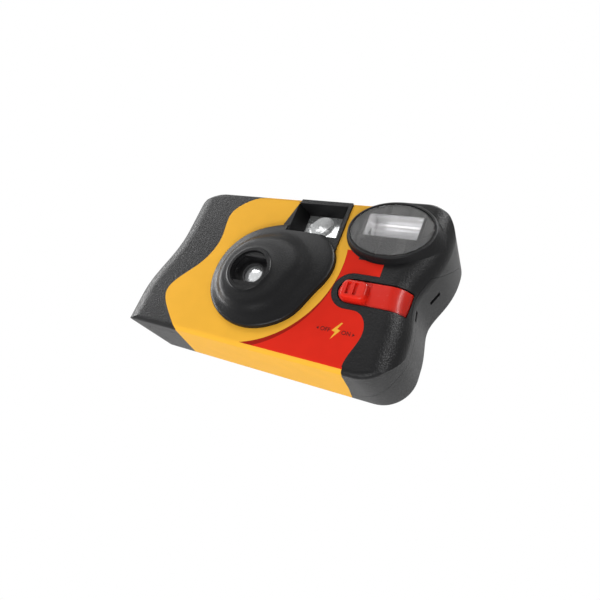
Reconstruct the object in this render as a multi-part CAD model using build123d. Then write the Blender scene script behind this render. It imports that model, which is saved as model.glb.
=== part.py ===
from build123d import *
import os
from math import atan2, cos, degrees, pi, radians, sin, sqrt

# Single-use 35 mm film camera with a built-in flash, in millimetres.
# While it is modelled, the lens looks along -Y, the flat front of the body is y = 0,
# the underside is z = 0 and x = 0 is the middle of the width. At the end everything
# is moved so that the origin is under the middle of the camera, on the table.

# Clearances, shared by all pieces
overrun = 4.0          # how far every cut runs past what it cuts
run_gap = 0.05         # radial gap of a shaft in its bearing
fit_gap = 0.1          # between a fixed piece and its seat
seat_gap = 0.3         # between loose or moving faces

# Outer body
width = 117.0
height = 62.0
depth = 33.0
wall = 1.5
side_round = 8.0       # rounding from the front face to the right side
left_round = 10.0      # and to the left side
edge_round = 2.0       # rounding from the front face to the top and the underside
back_round = 3.5
left_top_reach = 51.6  # middle to the left side above the waist
right_waist_reach = 52.4
right_foot_reach = 54.0
left_lobe_z = 11.0
left_waist_z = 43.5
right_foot_z = 16.0
right_waist_z = 30.0
top_left_corner = 15.5
left_foot_corner = 4.5
foot_corner = 12.5
shoulder_corner = 11.0
shoulder_z = 52.5
pod_rise = 2.6         # the flash end stands this much above the rest of the top
pod_rise_start_x = 27.0
pod_rise_end_x = 39.0

# Seam between the front and the rear cover
seam_gap = 0.15
seam_left_y = 3.0
seam_mid_y = 20.0
seam_left_x = 38.0     # where the low left end of the seam stops, left of the middle
seam_ramp_x = 20.0
seam_right_x = 38.0
seam_right_y = 24.4
seam_right_end_y = 11.5
tongue_x = 44.0        # the rear cover's tongue on the right side starts here
tongue_y = 5.5
tongue_low_z = 23.5
tongue_high_z = 39.0
tongue_root_z = 59.0
tongue_root_y = 28.5
side_slot_width = 2.0
upper_slot_low_z = 35.5
upper_slot_height = 4.6
lower_slot_low_z = 25.0
lower_slot_height = 3.6
door_gap = 0.2
door_corner = 3.0
scoop_radius = 22.0
scoop_depth = 3.2
scoop_low_margin = 0.7
scoop_high_margin = 2.5
scoop_half_width = 12.5

# Lens and its raised surround
lens_x = -5.0
lens_z = 26.5
ring_radius = 8.4
ring_rise = 6.1        # how far the ring stands in front of the body
recess_radius = 7.3
recess_depth = 3.6
recess_flat_share = 0.68
throat_radius = 4.3
lens_radius = 3.6
lens_dome = 1.0
lens_edge = 1.0
lens_front_y = -2.4
dome_reach = 20.0
dome_wall = 1.6
dome_step = 0.9        # the surround's rim stands this much above the label
dome_angle_step = 30
# reach of the surround's rim from the lens axis, from the right side anticlockwise
dome_rim_shares = [1.32, 1.51, 1.3, 1.06, 0.96, 0.9, 0.87, 0.89, 0.92, 0.97, 1.06, 1.18]
dome_rise_shares = [(1.0, 0.1), (0.84, 0.29), (0.52, 0.6), (0.2, 0.87), (0.0, 1.0)]

# Viewfinder
view_left_x = 0.4
view_right_x = 20.6
view_low_z = 45.9
view_high_z = 59.3
view_rim = 1.2
view_window_left_x = 2.6
view_window_right_x = 16.4
view_window_low_z = 49.4
view_window_high_z = 58.6
view_window_y = 6.0
view_lens_thick = 1.6
view_lens_border = 0.8
eyepiece_width = 13.0
eyepiece_height = 8.0
eyepiece_thick = 1.4
eyepiece_bulge = 0.7

# Flash
flash_x = 39.0
flash_z = 51.3
flash_lean = 5.0       # degrees that the cover leans back at its top
flash_half_width = 14.4
flash_half_height = 11.0
flash_disc_thick = 1.3
flash_rim = 0.9
flash_front_y = -1.8
flash_base_wider = 2.25    # the pod's base is this much wider than its rim on each side,
flash_base_taller = 1.25   # this much taller,
flash_base_right = 1.35    # and its middle lies this much to the right
flash_base_up = 0.45       # and this much higher
flash_pod_depth = 7.0
reflector_width = 19.0
reflector_height = 9.6
reflector_depth = 8.5
reflector_wall = 0.6
reflector_x = 38.8
reflector_z = 53.2
reflector_front_y = 0.4
tube_radius = 1.5
tube_overhang = 2.2

# Flash switch on the front
slot_left_x = 27.6
slot_right_x = 51.6
slot_low_z = 22.9
slot_high_z = 31.9
slot_rim = 2.0
strip_gap = 0.35
strip_sink = 0.4       # the strip lies this much behind the front face
strip_thick = 0.9
knob_left_inset = 1.4
knob_width = 9.0
knob_height = 6.6
knob_rise = 2.6
knob_rib_pitch = 2.6
knob_rib_width = 1.2
knob_groove_depth = 0.9

# Film cassette, its winding wheel and the film
can_radius = 12.5
can_height = 44.0
can_shell = 0.5
can_cap = 1.0
can_hub_radius = 5.0
can_hub_rise = 2.0
can_hub_bore = 3.4
can_lip = 1.2
lip_plate = 0.6
chamber_gap = 0.35
chamber_wall = 1.0
wheel_radius = 13.2
wheel_thick = 4.0
wheel_back_inset = 1.2
wheel_fork_radius = 3.0
knurl_count = 36
knurl_depth = 0.5
film_width = 35.0
film_thick = 0.2
film_back_gap = 4.5    # from the film to the inside of the back
perforation_pitch = 4.75
perforation_width = 2.8
perforation_height = 2.0
perforation_edge = 3.4
gate_width = 36.0
gate_height = 24.0
rail_height = 1.2
rail_rise = 0.4
roll_x = 39.4
roll_radius = 8.8
roll_core_radius = 3.5
roll_flange_rise = 1.2
roll_chamber_radius = 9.6

# Chassis
plate_thick = 1.8
cone_wall = 1.2
cone_front_y = 4.0
cone_front_size = 9.6
aperture_radius = 1.6
front_plate_left = 15.5
front_plate_right = 12.5
front_plate_low_z = 17.2
rib_thick = 1.2
tunnel_wall = 1.0
deck_thick = 1.2
deck_gap = 0.5

# Sprocket, counter and shutter works
sprocket_x = -14.0
sprocket_radius = 5.0
tooth_rise = 0.9
tooth_width = 1.2
sprocket_teeth = 8
sprocket_thick = 1.8
shaft_radius = 1.5
cam_radius = 4.2
cam_notch = 1.6
cam_thick = 1.6
finger_reach = 2.5
finger_width = 0.9
counter_x = -9.5
counter_ahead = 8.5    # the counter lies this much in front of the sprocket
counter_radius = 6.8
counter_thick = 1.0
counter_teeth = 30
counter_notch = 0.45
counter_low_z = 56.0
blade_thick = 0.5
blade_y = 2.6
blade_disc_radius = 4.0
blade_pivot_x = -15.0
blade_pivot_z = 34.0
blade_arm = 2.6
blade_swing = 30.0     # degrees
pivot_radius = 0.8
pivot_boss = 1.8
striker_x = -18.5
striker_y = 12.0
striker_thick = 1.2
striker_width = 2.4
metering_x = -6.0
metering_ahead = 1.0   # and the pivot of the metering lever this much
metering_thick = 1.0
button_x = -21.0
button_y = 9.0
button_length = 11.0
button_width = 8.0
button_rise = 0.9
button_skirt = 1.0
button_travel = 1.5
stem_radius = 1.3
coil_wire = 0.35
coil_radius = 2.2
coil_turns = 4

# Flash electronics and battery
battery_radius = 7.1
battery_length = 50.5
battery_nub_radius = 2.7
battery_nub = 1.0
battery_left_x = -20.2
contact_thick = 0.4
contact_width = 8.0
board_thick = 1.2
board_left_x = 23.5
board_right_x = 52.6
board_depth = 18.0
board_back_gap = 1.3   # from the board to the inside of the back
capacitor_radius = 5.6
capacitor_length = 28.0
transformer_size = 7.0
transformer_core = 4.4
lamp_radius = 1.3
lamp_length = 9.0
lamp_x = 27.0
lamp_y = 15.5
counter_window_radius = 2.6

# Label, its edges as shares of the half width and of the height
label_thick = 0.3
label_left_shares = [(-0.19, 0.99), (-0.385, 0.95), (-0.496, 0.84), (-0.482, 0.68), (-0.565, 0.435),
                     (-0.711, 0.225), (-0.6, 0.085), (-0.5, 0.0)]
label_right_shares = [(0.6, 0.337), (0.675, 0.3), (0.698, 0.24), (0.684, 0.158), (0.656, 0.079), (0.655, 0.0)]
label_back_left_share = -0.73
label_back_right_share = 0.55
label_tab_x = 40.2
label_tab_z = 39.3
label_tab_left_x = 31.0

# Places worked out from the sizes above
half_width = width / 2
pod_top = height + pod_rise
inner_back_y = depth - wall
film_y = inner_back_y - film_back_gap
roll_y = film_y - roll_radius - fit_gap
board_back_y = inner_back_y - board_back_gap
board_front_y = board_back_y - board_depth
cassette_x = -(left_top_reach - wall - seat_gap - wheel_radius)
cassette_y = depth - wheel_back_inset - wheel_radius
can_low_z = lens_z - can_height / 2
can_high_z = can_low_z + can_height
film_low_z = lens_z - film_width / 2
film_high_z = film_low_z + film_width
chamber_radius = can_radius + chamber_gap
wheel_low_z = can_high_z + can_hub_rise + seat_gap
wheel_high_z = wheel_low_z + wheel_thick
sprocket_y = film_y - sprocket_radius - tooth_rise - fit_gap
counter_y = sprocket_y - counter_ahead
metering_y = sprocket_y - metering_ahead
sprocket_low_z = film_high_z - 2 * sprocket_thick
deck_low_z = film_high_z + deck_gap
deck_high_z = deck_low_z + deck_thick
plate_front_y = film_y - rail_rise - plate_thick
plate_back_y = film_y - rail_rise
battery_y = wall + seat_gap + battery_radius
battery_z = wall + seat_gap + battery_radius
battery_right_x = battery_left_x + battery_length
board_low_z = deck_high_z
metering_low_z = deck_high_z + 3 * striker_thick + seat_gap
button_spring_low_z = wheel_high_z
switch_contact_y = wall + strip_thick + fit_gap + seat_gap
lens_holder_back_y = blade_y - blade_thick - seat_gap
capacitor_z = board_low_z + board_thick + seat_gap + capacitor_radius
capacitor_y = board_back_y - fit_gap - capacitor_radius


# Plain solids between two limits on each axis
def block(x0, x1, y0, y1, z0, z1):
    return Pos((x0 + x1) / 2, (y0 + y1) / 2, (z0 + z1) / 2) * Box(x1 - x0, y1 - y0, z1 - z0)


def rod_x(y, z, x0, x1, radius):
    return Pos((x0 + x1) / 2, y, z) * Rot(0, 90, 0) * Cylinder(radius, x1 - x0)


def rod_y(x, z, y0, y1, radius):
    return Pos(x, (y0 + y1) / 2, z) * Rot(90, 0, 0) * Cylinder(radius, y1 - y0)


def rod_z(x, y, z0, z1, radius):
    return Pos(x, y, (z0 + z1) / 2) * Cylinder(radius, z1 - z0)


# A flat outline seen from the front, pushed back from y0 to y1
def from_front(face, y0, y1):
    return Pos(0, y0, 0) * extrude(Plane.XZ * face, amount=y0 - y1)


# A flat outline seen from above, raised from z0 to z1
def from_above(face, z0, z1):
    return Pos(0, 0, z0) * extrude(face, amount=z1 - z0)


# Keeps the largest solid of a result and drops crumbs
def main_solid(shape):
    return max(shape.solids(), key=lambda solid: solid.volume)


# Left side of the outline, going down: straight, then out round the lower lobe
def left_side(inset, top_z, low_z):
    upper = (-left_top_reach + inset, left_waist_z)
    lower = (-half_width + inset, left_lobe_z)
    bend = Spline([upper, lower], tangents=[(0, -1), (0, -1)])
    return [Line((upper[0], top_z), upper), bend, Line(lower, (lower[0], low_z))]


# Right side of the outline, going up: foot, waist and shoulder
def right_side(inset, low_z, top_z):
    foot = (right_foot_reach - inset, right_foot_z)
    waist = (right_waist_reach - inset, right_waist_z)
    shoulder = (half_width - inset, shoulder_z)
    bend = Spline([foot, waist, shoulder], tangents=[(0, 1), (0, 1)])
    return [Line((foot[0], low_z), foot), bend, Line(shoulder, (shoulder[0], top_z))]


# Full outline from the front, with its corners and the raised flash end
def outline(inset):
    low, top, pod = inset, height - inset, pod_top - inset
    left_top = top_left_corner - inset
    left_foot = left_foot_corner - inset
    foot = foot_corner - inset
    shoulder = shoulder_corner - inset
    left = left_side(inset, top - left_top, low + left_foot)
    right = right_side(inset, low + foot, pod - shoulder)
    left_x, lobe_x = (left[0] @ 0).X, (left[2] @ 1).X
    foot_x, end_x = (right[0] @ 0).X, (right[2] @ 1).X
    rise = Spline([(pod_rise_end_x, pod), (pod_rise_start_x, top)], tangents=[(-1, 0), (-1, 0)])
    edges = left + [
        RadiusArc(left[2] @ 1, (lobe_x + left_foot, low), -left_foot),
        Line((lobe_x + left_foot, low), (foot_x - foot, low)),
        RadiusArc((foot_x - foot, low), right[0] @ 0, -foot),
    ] + right + [
        RadiusArc(right[2] @ 1, (end_x - shoulder, pod), -shoulder),
        Line((end_x - shoulder, pod), (pod_rise_end_x, pod)),
        rise,
        Line((pod_rise_start_x, top), (left_x + left_top, top)),
        RadiusArc((left_x + left_top, top), left[0] @ 0, -left_top),
    ]
    return make_face(Curve() + edges)


# Body with every face moved in by inset: the outline, with sharp edges above and below,
# cut by a broader form that gives both sides their large front rounding
def body(inset):
    plain = from_front(outline(inset), inset, depth - inset)
    back = plain.faces().sort_by(Axis.Y)[-1].edges()
    plain = fillet(back, back_round - inset)
    front = plain.faces().sort_by(Axis.Y)[0].edges()
    plain = fillet(front, edge_round - inset)
    high, low = pod_top + 2 * overrun, -2 * overrun
    left = left_side(inset, high, low)
    right = right_side(inset, low, high)
    broad_edges = left + [Line(left[2] @ 1, right[0] @ 0)] + right + [Line(right[2] @ 1, left[0] @ 0)]
    broad = from_front(make_face(Curve() + broad_edges), inset, depth + overrun)
    for side, radius in ((-1, left_round), (1, side_round)):
        front = broad.faces().sort_by(Axis.Y)[0]
        edges = [edge for edge in front.edges() if edge.center().X * side > half_width / 2]
        broad = fillet(edges, radius - inset)
    return main_solid(plain & broad)


# Rim of the raised lens surround: a closed curve drawn in towards the ring by share
def dome_section(share, y, shrink):
    points = []
    for index, rim_share in enumerate(dome_rim_shares):
        angle = radians(index * dome_angle_step)
        reach = ring_radius + (dome_reach * rim_share - ring_radius) * share - shrink
        points.append((lens_x + reach * cos(angle), lens_z + reach * sin(angle)))
    return Pos(0, y, 0) * (Plane.XZ * make_face(Spline(points, periodic=True)))


# The surround itself, standing in front of the body, or its hollow when shrink is its wall
def dome(shrink):
    start = edge_round + wall
    sections = [dome_section(1.0, start, shrink), dome_section(1.0, shrink - dome_step, shrink)]
    base = loft(sections, ruled=True)
    swell = [dome_section(1.0, shrink - dome_step, shrink)]
    for share, rise in dome_rise_shares:
        y = shrink - dome_step - (ring_rise - dome_step) * rise
        swell.append(dome_section(share, y, shrink))
    return base + loft(swell)


# Round pod that carries the flash cover, its axis leaning back by flash_lean
def flash_frame():
    return Pos(flash_x, flash_front_y, flash_z) * Rot(90 - flash_lean, 0, 0)


def flash_oval(grow, depth_behind):
    return Pos(0, 0, -depth_behind) * Ellipse(flash_half_width + grow, flash_half_height + grow)


def flash_pod(shrink):
    top = flash_oval(flash_rim - shrink, shrink)
    base_half_width = flash_half_width + flash_rim + flash_base_wider - shrink
    base_half_height = flash_half_height + flash_rim + flash_base_taller - shrink
    base = Ellipse(base_half_width, base_half_height)
    base = Pos(flash_base_right, flash_base_up, -flash_pod_depth - shrink) * base
    pod = loft([base, top], ruled=True)
    if shrink == 0:
        pod = fillet(pod.edges().sort_by(Axis.Z)[-1], flash_rim / 2)
    return flash_frame() * pod


# Funnel in front of the viewfinder, widening towards the subject
def view_funnel(grow):
    front = Rectangle(view_right_x - view_left_x + 2 * grow, view_high_z - view_low_z + 2 * grow)
    front = Pos((view_left_x + view_right_x) / 2, (view_low_z + view_high_z) / 2) * front
    window = Rectangle(view_window_right_x - view_window_left_x + 2 * grow,
                       view_window_high_z - view_window_low_z + 2 * grow)
    window = Pos((view_window_left_x + view_window_right_x) / 2,
                 (view_window_low_z + view_window_high_z) / 2) * window
    return loft([Pos(0, -dome_step, 0) * (Plane.XZ * front), Pos(0, view_window_y, 0) * (Plane.XZ * window)],
                ruled=True)


def view_mouth():
    return block(view_left_x, view_right_x, -ring_rise - overrun, -dome_step, view_low_z, view_high_z)


def view_frame():
    low, high = view_low_z - 4 * view_rim, height - edge_round / 2
    left, right = view_left_x, view_right_x + view_rim
    corners = [(left + view_rim / 2, high), (left - 3 * view_rim, lens_z + dome_reach), (left, low),
               (right, low), (right, high)]
    return from_front(make_face(Polyline(corners + [corners[0]])), -dome_step, view_window_y)


# Stepped recess in front of the lens: a cone cut off flat above and below, then the throat
def lens_recess():
    recess = Pos(lens_x, -ring_rise + recess_depth / 2, lens_z) * Rot(90, 0, 0)
    recess = recess * Cone(throat_radius + dome_wall, recess_radius, recess_depth)
    flat = recess_radius * recess_flat_share
    recess = recess & block(-half_width, half_width, -ring_rise - overrun, depth, lens_z - flat,
                            lens_z + flat)
    step = rod_y(lens_x, lens_z, -ring_rise - overrun, -ring_rise + recess_depth / 6, recess_radius)
    return recess + step + rod_y(lens_x, lens_z, -ring_rise, lens_front_y + overrun, throat_radius)


# Slot of the flash switch: round at its left end, square at its right end
def slot_outline(grow):
    radius = (slot_high_z - slot_low_z) / 2 + grow
    middle = (slot_high_z + slot_low_z) / 2
    start = slot_left_x - grow + radius
    right = slot_right_x + grow
    edges = [ThreePointArc((start, middle + radius), (start - radius, middle), (start, middle - radius)),
             Line((start, middle - radius), (right, middle - radius)),
             Line((right, middle - radius), (right, middle + radius)),
             Line((right, middle + radius), (start, middle + radius))]
    return make_face(Curve() + edges)


# Everything behind the seam, as one solid that is moved forward to leave the seam's gap
def rear_zone(shift):
    high = pod_top + overrun
    corners = [(-half_width - overrun, seam_left_y), (-seam_left_x, seam_left_y), (-seam_ramp_x, seam_mid_y),
               (seam_ramp_x, seam_mid_y), (seam_right_x, seam_right_y),
               (right_waist_reach, seam_right_end_y), (half_width + overrun, seam_right_end_y),
               (half_width + overrun, depth + overrun), (-half_width - overrun, depth + overrun)]
    zone = from_above(make_face(Polyline(corners + [corners[0]])), -overrun, high)
    side = [(tongue_y, tongue_low_z), (tongue_y, tongue_high_z), (tongue_root_y, tongue_root_z),
            (tongue_root_y, high), (-overrun, high), (-overrun, tongue_low_z)]
    keep_front = Plane.YZ * make_face(Polyline(side + [side[0]]))
    keep_front = Pos(tongue_x - overrun, 0, 0) * extrude(keep_front, amount=half_width)
    tongue = block(tongue_x - overrun, half_width + overrun, tongue_y, seam_right_y, tongue_low_z,
                   tongue_high_z)
    slope_side = [(tongue_y, tongue_high_z), (tongue_root_y, tongue_root_z), (tongue_root_y, tongue_high_z)]
    slope = Plane.YZ * make_face(Polyline(slope_side + [slope_side[0]]))
    slope = Pos(tongue_x - overrun, 0, 0) * extrude(slope, amount=half_width)
    return Pos(0, shift, 0) * (zone - keep_front + tongue + slope)


# Front area of the label, up to its wavy left and right edges
def label_front():
    left = [(half_width * across, height * up) for across, up in label_left_shares]
    right = [(half_width * across, height * up) for across, up in label_right_shares]
    high = height + overrun
    edges = [Line((left[0][0], high), left[0]), Spline(left), Line(left[-1], right[-1]), Spline(right)]
    turns = [right[0], (right[0][0], slot_high_z), (label_tab_x, slot_high_z), (label_tab_x, label_tab_z),
             (label_tab_left_x, label_tab_z), (label_tab_left_x, high), (left[0][0], high)]
    return make_face(Curve() + edges + [Line(a, b) for a, b in zip(turns, turns[1:])])


# Underside area of the label, from the fold to the back edge
def label_under():
    left = half_width * label_left_shares[-1][0]
    right = half_width * label_right_shares[-1][0]
    corners = [(left, 0), (right, 0), (half_width * label_back_right_share + overrun, depth / 2),
               (half_width * label_back_right_share, depth + overrun),
               (half_width * label_back_left_share, depth + overrun), (left, 0)]
    return make_face(Polyline(corners))


# The label lies in a shallow recess of its own thickness, flush with the covers
def label_layer(outer, gap):
    skin = outer - body(label_thick)
    front = from_front(label_front(), -overrun, edge_round)
    under = from_above(label_under(), -overrun, edge_round)
    layer = skin & (front + under)
    layer = layer - dome(-gap) - from_front(slot_outline(slot_rim + gap), -overrun, edge_round)
    layer = layer - Pos(0, -gap, 0) * view_frame() - flash_pod_clear(gap)
    return layer


def flash_pod_clear(gap):
    tall = flash_oval(flash_rim + flash_base_taller / 2 + gap, flash_pod_depth)
    return flash_frame() * extrude(tall, amount=2 * flash_pod_depth)


# Small parts of the covers
def button_outline(grow):
    return Pos(button_x, button_y) * SlotOverall(button_length + 2 * grow, button_width + 2 * grow)


def lens_tube():
    back = lens_front_y + lens_dome
    tube = rod_y(lens_x, lens_z, -ring_rise + recess_depth / 2, back, recess_radius + wall / 2)
    return tube - rod_y(lens_x, lens_z, -ring_rise, back + overrun, throat_radius)


def flash_pocket(gap):
    return flash_frame() * extrude(flash_oval(gap, flash_disc_thick), amount=flash_disc_thick + overrun)


def reflector_block(gap, y0, y1):
    half_w, half_h = reflector_width / 2 + gap, reflector_height / 2 + gap
    return block(reflector_x - half_w, reflector_x + half_w, y0, y1, reflector_z - half_h,
                 reflector_z + half_h)


def counter_window_place():
    return counter_x, counter_y - counter_radius + counter_window_radius


def door_outline(grow):
    reach = can_radius - seat_gap + grow
    middle_y = (cassette_y - reach + inner_back_y) / 2
    return Pos(cassette_x, middle_y) * RectangleRounded(2 * reach, inner_back_y - cassette_y + reach,
                                                        door_corner)


def scoop(grow):
    low = wheel_low_z - scoop_low_margin - grow
    high = wheel_high_z + scoop_high_margin + grow
    half = scoop_half_width + grow
    bowl = rod_z(cassette_x, depth - scoop_depth + scoop_radius, low, high, scoop_radius + grow)
    return bowl & block(cassette_x - half, cassette_x + half, 0, depth + overrun, low, high)


def eyepiece_block(grow, y0, y1):
    middle = (view_window_left_x + view_window_right_x) / 2
    level = (view_window_low_z + view_window_high_z) / 2
    return block(middle - eyepiece_width / 2 - grow, middle + eyepiece_width / 2 + grow, y0, y1,
                 level - eyepiece_height / 2 - grow, level + eyepiece_height / 2 + grow)


# Both covers, the label and the film door are cut from one moulded form
def make_casing():
    outer = body(0)
    layer = label_layer(outer, 0)
    label = label_layer(outer, fit_gap)
    hollow = body(wall)
    walls = outer - hollow
    whole = outer + dome(0) + flash_pod(0) + view_frame()
    scoop_back = scoop(wall) & outer
    below_sill = block(-half_width, half_width, -ring_rise - overrun, depth, 0, view_low_z - view_rim)
    shell = whole - hollow - (dome(dome_wall) & below_sill) + lens_tube() + scoop_back
    for x in (lens_x - gate_width / 3, lens_x, lens_x + gate_width / 3):
        shell = shell + block(x - rib_thick / 2, x + rib_thick / 2, film_y + film_thick + seat_gap,
                              inner_back_y + fit_gap, film_low_z, film_high_z)
    boss = rod_z(cassette_x, cassette_y, wheel_high_z + can_hub_rise / 2, height - wall / 2,
                 shaft_radius + wall)
    boss = boss - rod_z(cassette_x, cassette_y, 0, wheel_high_z + can_hub_rise + seat_gap,
                        shaft_radius + run_gap)
    funnel_walls = view_funnel(view_rim) & block(-half_width, half_width, 0, depth, 0, height - wall / 2)
    shell = shell + funnel_walls - view_funnel(0) - view_mouth() - lens_recess()
    shell = shell - from_front(slot_outline(0), -overrun, side_round) - layer
    shell = shell - flash_pocket(fit_gap) - reflector_block(0, -overrun, wall + overrun)
    shell = shell - reflector_block(reflector_wall + fit_gap, reflector_front_y - fit_gap, wall + overrun)
    shell = shell - from_above(button_outline(seat_gap), height - wall - overrun, height + overrun)
    window_x, window_y = counter_window_place()
    shell = shell - rod_z(window_x, window_y, height - wall - overrun, height + overrun,
                          counter_window_radius)
    shell = shell - rod_z(lamp_x, lamp_y, height - wall - overrun, height + overrun, lamp_radius + fit_gap)
    shell = shell - scoop(0) - eyepiece_block(fit_gap, depth - wall - overrun, depth + overrun)
    shell = shell - rod_z(cassette_x, cassette_y, wheel_low_z - seat_gap, wheel_high_z + seat_gap,
                          wheel_radius + seat_gap)
    shell = shell - from_above(door_outline(door_gap), -overrun, wall + fit_gap) + boss
    front = main_solid(shell - rear_zone(-seam_gap))
    rear = main_solid(shell & rear_zone(0))
    for low, tall in [(upper_slot_low_z, upper_slot_height), (lower_slot_low_z, lower_slot_height)]:
        reach = right_foot_reach + wall
        start_y = tongue_y + (depth - tongue_y) * (low - tongue_low_z) / (height - tongue_low_z)
        rear = rear - block(reach - overrun, reach + overrun, start_y + side_slot_width,
                            start_y + 2 * side_slot_width, low, low + tall)
    door = (walls & from_above(door_outline(0), -overrun, wall)) - layer
    return front, main_solid(rear), label, main_solid(door)


# Hollow four-sided cone that keeps light between the lens and the film
def light_cone(grow, front_y, back_y):
    front = Pos(lens_x, lens_z) * Rectangle(cone_front_size + 2 * grow, cone_front_size + 2 * grow)
    back = Pos(lens_x, lens_z) * Rectangle(gate_width + 2 * grow, gate_height + 2 * grow)
    return loft([Pos(0, front_y, 0) * (Plane.XZ * front), Pos(0, back_y, 0) * (Plane.XZ * back)], ruled=True)


# Round chamber wall, open towards the back of the camera
def chamber(x, y, inner_radius, low, high):
    outer = rod_z(x, y, low, high, inner_radius + chamber_wall)
    hollow = rod_z(x, y, low - overrun, high + overrun, inner_radius)
    behind = block(x - 2 * inner_radius, x + 2 * inner_radius, plate_back_y, depth, low - overrun,
                   high + overrun)
    return outer - hollow - behind


def viewfinder_tunnel():
    sides = (view_window_left_x, view_window_right_x)
    levels = (view_window_low_z, view_window_high_z)
    start, end = view_window_y + fit_gap, inner_back_y - eyepiece_thick - 2 * fit_gap
    outer = block(sides[0] - tunnel_wall, sides[1] + tunnel_wall, start, end,
                  levels[0] - tunnel_wall, levels[1] + tunnel_wall)
    inner = block(sides[0], sides[1], start - overrun, end + overrun, levels[0], levels[1])
    pocket = block(sides[0] - tunnel_wall, sides[1] + tunnel_wall, start - overrun,
                   start + view_lens_thick + fit_gap, levels[0] - tunnel_wall, height)
    feet = []
    for y in (start + view_lens_thick + wall, end - wall - rib_thick):
        feet.append(block(sides[0], sides[1], y, y + rib_thick, deck_high_z, levels[0] - tunnel_wall))
    return outer - inner - pocket + feet


# Chassis: gate plate, light cone, film chambers, deck, battery bay and viewfinder tunnel
def make_main_frame():
    back_left = cassette_x + chamber_radius - 2 * chamber_wall
    back_right = roll_x - roll_chamber_radius
    gate_low, gate_high = lens_z - gate_height / 2, lens_z + gate_height / 2
    frame = block(back_left, back_right, plate_front_y, plate_back_y, film_low_z - rail_height, deck_high_z)
    frame = frame + light_cone(cone_wall, cone_front_y, plate_front_y)
    frame = frame + block(lens_x - front_plate_left, lens_x + front_plate_right, cone_front_y,
                          cone_front_y + cone_wall, front_plate_low_z, deck_high_z)
    frame = frame + chamber(cassette_x, cassette_y, chamber_radius, can_low_z, can_high_z)
    frame = frame + chamber(roll_x, roll_y, roll_chamber_radius, film_low_z - 2 * roll_flange_rise,
                            deck_high_z)
    frame = frame + block(cassette_x + chamber_radius, roll_x, cone_front_y + cone_wall, plate_back_y,
                          deck_low_z, deck_high_z)
    frame = frame + rod_z(roll_x, roll_y, film_low_z - 2 * roll_flange_rise - rib_thick,
                          film_low_z - 2 * roll_flange_rise, roll_chamber_radius + chamber_wall)
    frame = frame + rod_z(roll_x, roll_y, deck_low_z, deck_high_z, roll_chamber_radius + chamber_wall)
    for x in (roll_x - 2 * roll_core_radius, roll_x):
        frame = frame + block(x, x + rib_thick, switch_contact_y + contact_thick + fit_gap, roll_y,
                              slot_low_z, slot_high_z)
    frame = frame + viewfinder_tunnel()
    bay_left = battery_left_x - 2 * contact_thick
    bay_right = battery_right_x + 2 * contact_thick
    bay = rod_x(battery_y, battery_z, bay_left - rib_thick, bay_right + rib_thick,
                battery_radius + fit_gap + rib_thick)
    bay = bay & block(-half_width, half_width, battery_y, depth, wall + fit_gap, front_plate_low_z)
    frame = frame + bay
    for x in (lens_x - gate_width / 3, lens_x + gate_width / 3):
        frame = frame + block(x, x + rib_thick, battery_y + battery_radius, plate_back_y,
                              wall + fit_gap, gate_low)
        frame = frame + block(x, x + rib_thick, cone_front_y, cone_front_y + 2 * battery_radius,
                              battery_z + battery_radius, front_plate_low_z + rib_thick)
    for x in (bay_left - rib_thick, bay_right):
        frame = frame + block(x, x + rib_thick, battery_y - contact_width / 2, battery_y + contact_width / 2,
                              wall + fit_gap, battery_z + battery_radius)
    frame = frame - light_cone(0, cone_front_y + cone_wall, plate_front_y)
    frame = frame - block(lens_x - gate_width / 2, lens_x + gate_width / 2, plate_front_y - fit_gap,
                          plate_back_y + overrun, gate_low, gate_high)
    frame = frame - rod_y(lens_x, lens_z, cone_front_y - overrun, cone_front_y + overrun, aperture_radius)
    frame = frame - rod_z(cassette_x, cassette_y, 0, height, chamber_radius)
    frame = frame - rod_z(roll_x, roll_y, film_low_z - 2 * roll_flange_rise, deck_low_z, roll_chamber_radius)
    frame = frame - rod_x(battery_y, battery_z, bay_left, bay_right, battery_radius + fit_gap)
    frame = frame - rod_z(sprocket_x, sprocket_y, sprocket_low_z - seat_gap, deck_low_z,
                          sprocket_radius + tooth_rise + seat_gap)
    frame = frame - rod_z(sprocket_x, sprocket_y, deck_low_z - overrun, deck_high_z + overrun,
                          shaft_radius + run_gap)
    lip_x = cassette_x + chamber_radius - 2 * chamber_wall
    frame = frame - block(cassette_x, lip_x, film_y - 2 * lip_plate, depth, can_low_z, can_high_z)
    for z in (gate_low - 2 * rail_height, gate_high + rail_height / 3):
        frame = frame + block(back_left, back_right, plate_back_y, plate_back_y + rail_rise, z,
                              z + rail_height)
    post_low = deck_low_z
    frame = frame + rod_z(counter_x, counter_y, post_low, counter_low_z - fit_gap, shaft_radius)
    frame = frame + rod_z(counter_x, counter_y, post_low, counter_low_z + 2 * counter_thick, pivot_radius)
    frame = frame + rod_z(striker_x, striker_y, post_low, metering_low_z - fit_gap, pivot_radius)
    frame = frame + rod_z(metering_x, metering_y, post_low, metering_low_z - fit_gap, shaft_radius)
    frame = frame + rod_z(metering_x, metering_y, post_low, metering_low_z + 2 * metering_thick, pivot_radius)
    frame = frame + rod_z(roll_x, roll_y, film_low_z - 3 * roll_flange_rise, film_high_z - overrun,
                          pivot_radius)
    frame = frame + rod_y(blade_pivot_x, blade_pivot_z, blade_y - blade_thick, cone_front_y, pivot_radius)
    frame = frame + rod_y(blade_pivot_x, blade_pivot_z, blade_y + blade_thick + fit_gap, cone_front_y,
                          pivot_boss)
    for z in (lens_z - lens_radius - pivot_boss, lens_z + lens_radius + pivot_boss):
        frame = frame + rod_y(lens_x + front_plate_right - pivot_boss, z, lens_holder_back_y, cone_front_y,
                              pivot_boss)
    frame = frame + button_guide()
    return main_solid(frame & body(wall + fit_gap))


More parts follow.
